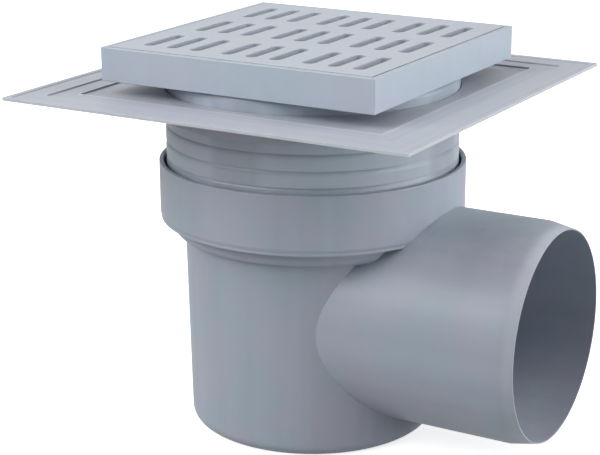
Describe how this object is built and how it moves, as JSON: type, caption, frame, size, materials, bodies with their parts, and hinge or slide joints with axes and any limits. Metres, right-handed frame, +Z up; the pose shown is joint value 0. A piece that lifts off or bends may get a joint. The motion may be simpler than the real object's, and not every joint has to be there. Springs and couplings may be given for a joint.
{
  "type": "gully trap",
  "caption": "Floor gully with a square slotted grate, a ringed adjustable neck, a square sealing flange, a stepped round body with a side outlet, and a lift-out bell trap.",
  "frame": {"origin": "centre of the body's flat base", "axes": "+Z up along the body's axis, +X along the outlet towards its mouth"},
  "size_m": [0.2448, 0.2184, 0.2],
  "materials": {
    "body": "satin moulded",
    "frame": "satin moulded",
    "grate": "fine matte moulded",
    "flange": "satin, faintly brushed",
    "trap": "satin moulded",
    "seal": "matte"
  },
  "bodies": {
    "gully": {"gully_body": "body", "trap_bowl": "trap", "trap_bell": "trap", "bowl_seal": "seal"},
    "neck_ring": {"neck_seal": "seal"},
    "inlet": {"grate_frame": "frame", "grate": "grate"},
    "flange_ring": {"flange_seal": "seal"},
    "flange": {"flange_plate": "flange"}
  },
  "joints": [
    {"name": "height_slide", "type": "slide", "parent": "gully", "child": "neck_ring", "axis": [0, 0, 1], "range_m": [-0.006, 0.009]},
    {"name": "frame_turn", "type": "hinge", "parent": "neck_ring", "child": "inlet", "pos_m": [0, 0, 0.1247], "axis": [0, 0, 1], "continuous": true},
    {"name": "flange_slide", "type": "slide", "parent": "inlet", "child": "flange_ring", "axis": [0, 0, 1], "range_m": [-0.015, 0.005]},
    {"name": "flange_turn", "type": "hinge", "parent": "flange_ring", "child": "flange", "pos_m": [0, 0, 0.1683], "axis": [0, 0, 1], "continuous": true}
  ]
}
